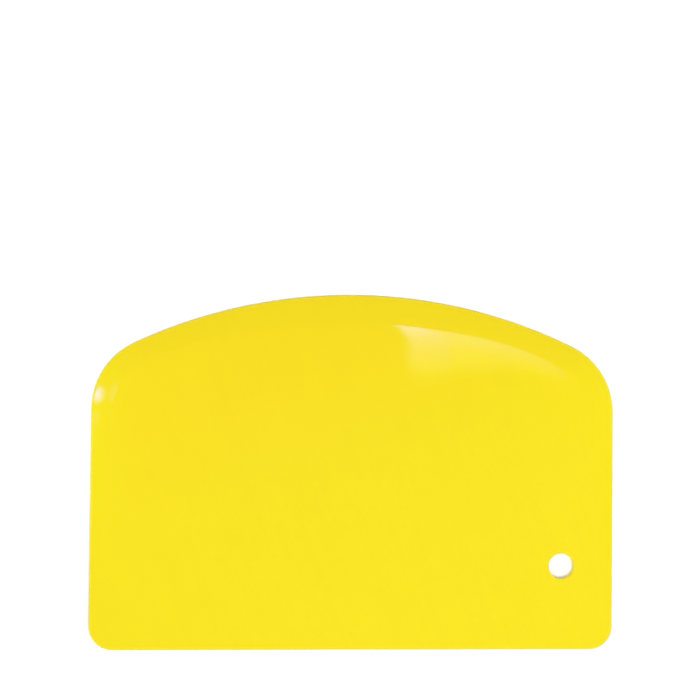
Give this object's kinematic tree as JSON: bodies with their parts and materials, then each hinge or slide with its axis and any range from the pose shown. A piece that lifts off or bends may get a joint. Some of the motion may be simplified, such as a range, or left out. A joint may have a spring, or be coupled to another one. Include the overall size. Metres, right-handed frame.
{
  "type": "pastry scraper",
  "caption": "Flat flexible plastic pastry scraper with a straight cutting edge, a bowed edge thinned to a wiping lip, rounded corners and a hanging hole.",
  "frame": {"origin": "middle of the sheet's bounding box, on its flat back face", "axes": "+X along the straight edge, +Y from the straight edge towards the bowed edge, +Z out of the front face, the one with the lip's slope; seen from +Z the hanging hole is at the lower right"},
  "size_m": [0.125, 0.0844, 0.002],
  "materials": {
    "yellow_plastic": "satin"
  },
  "bodies": {
    "root": {"scraper_blade": "yellow_plastic"}
  },
  "joints": []
}
